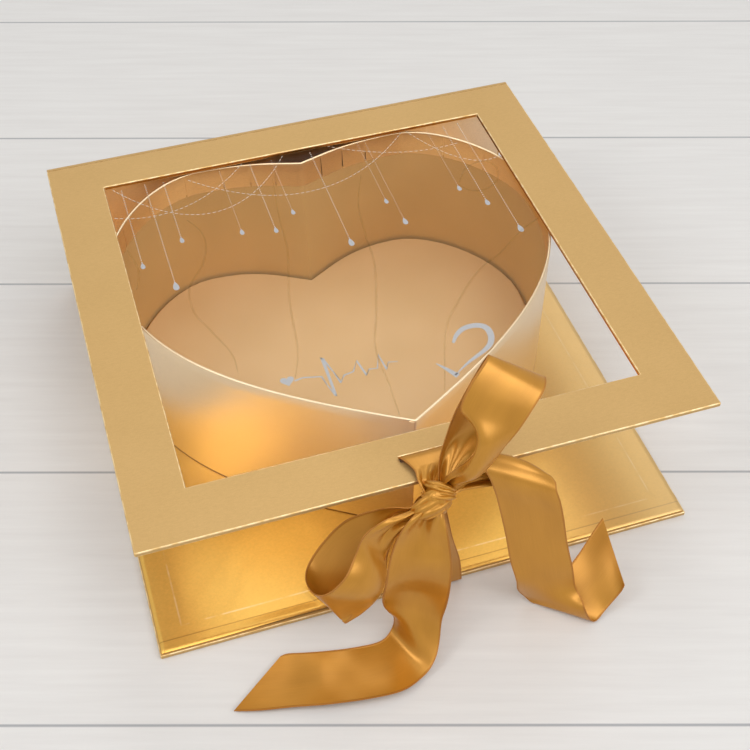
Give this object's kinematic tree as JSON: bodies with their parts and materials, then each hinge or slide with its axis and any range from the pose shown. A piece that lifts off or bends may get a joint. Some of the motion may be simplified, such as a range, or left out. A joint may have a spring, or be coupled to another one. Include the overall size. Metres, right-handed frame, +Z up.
{
  "type": "heart window gift box",
  "caption": "Book-style gift box with a heart-shaped tray, a hinged lid with a clear window, and a satin bow that ties it shut.",
  "frame": {"origin": "middle of the lid's outline, on the flat underside of the base", "axes": "+Z up, front of the box (the side with the bow) towards -Y, +X to the right seen from the front"},
  "size_m": [0.22, 0.2585, 0.1217],
  "materials": {
    "grey_board": "raw grey board",
    "gold_paper": "satin metallic gold paper with a fine lengthwise grain",
    "gold_foil": "glossy gold foil paper",
    "champagne_paper": "matte champagne paper",
    "clear_film": "clear film with a pale print",
    "satin_ribbon": "satin weave with woven edges"
  },
  "bodies": {
    "base": {"base_board": "grey_board", "base_wrap": "gold_paper", "base_liner_card": "grey_board", "base_liner_foil": "gold_foil", "base_hinge_paper": "gold_paper", "base_strap": "satin_ribbon", "tray_wall": "grey_board", "tray_foil": "gold_foil", "tray_lining": "champagne_paper", "tray_floor": "grey_board", "tray_floor_paper": "champagne_paper"},
    "spine": {"spine_board": "grey_board", "spine_wrap": "gold_paper", "spine_liner": "gold_foil", "lid_hinge_paper": "gold_paper"},
    "lid": {"lid_board": "grey_board", "lid_wrap": "gold_paper", "lid_liner": "gold_foil", "window_film": "clear_film", "lid_ribbon": "satin_ribbon", "bow_knot": "satin_ribbon", "bow_loop_upper": "satin_ribbon", "bow_loop_lower": "satin_ribbon", "bow_tail_centre": "satin_ribbon", "bow_tail_right": "satin_ribbon"}
  },
  "joints": [
    {"name": "spine_hinge", "type": "hinge", "parent": "base", "child": "spine", "pos_m": [0, 0.1081, 0.0009], "axis": [-1, 0, 0], "range_deg": [0, 90], "deforming": ["base_hinge_paper"]},
    {"name": "lid_hinge", "type": "hinge", "parent": "spine", "child": "lid", "pos_m": [0, 0.1081, 0.0711], "axis": [-1, 0, 0], "range_deg": [0, 90], "deforming": ["lid_hinge_paper"]}
  ]
}
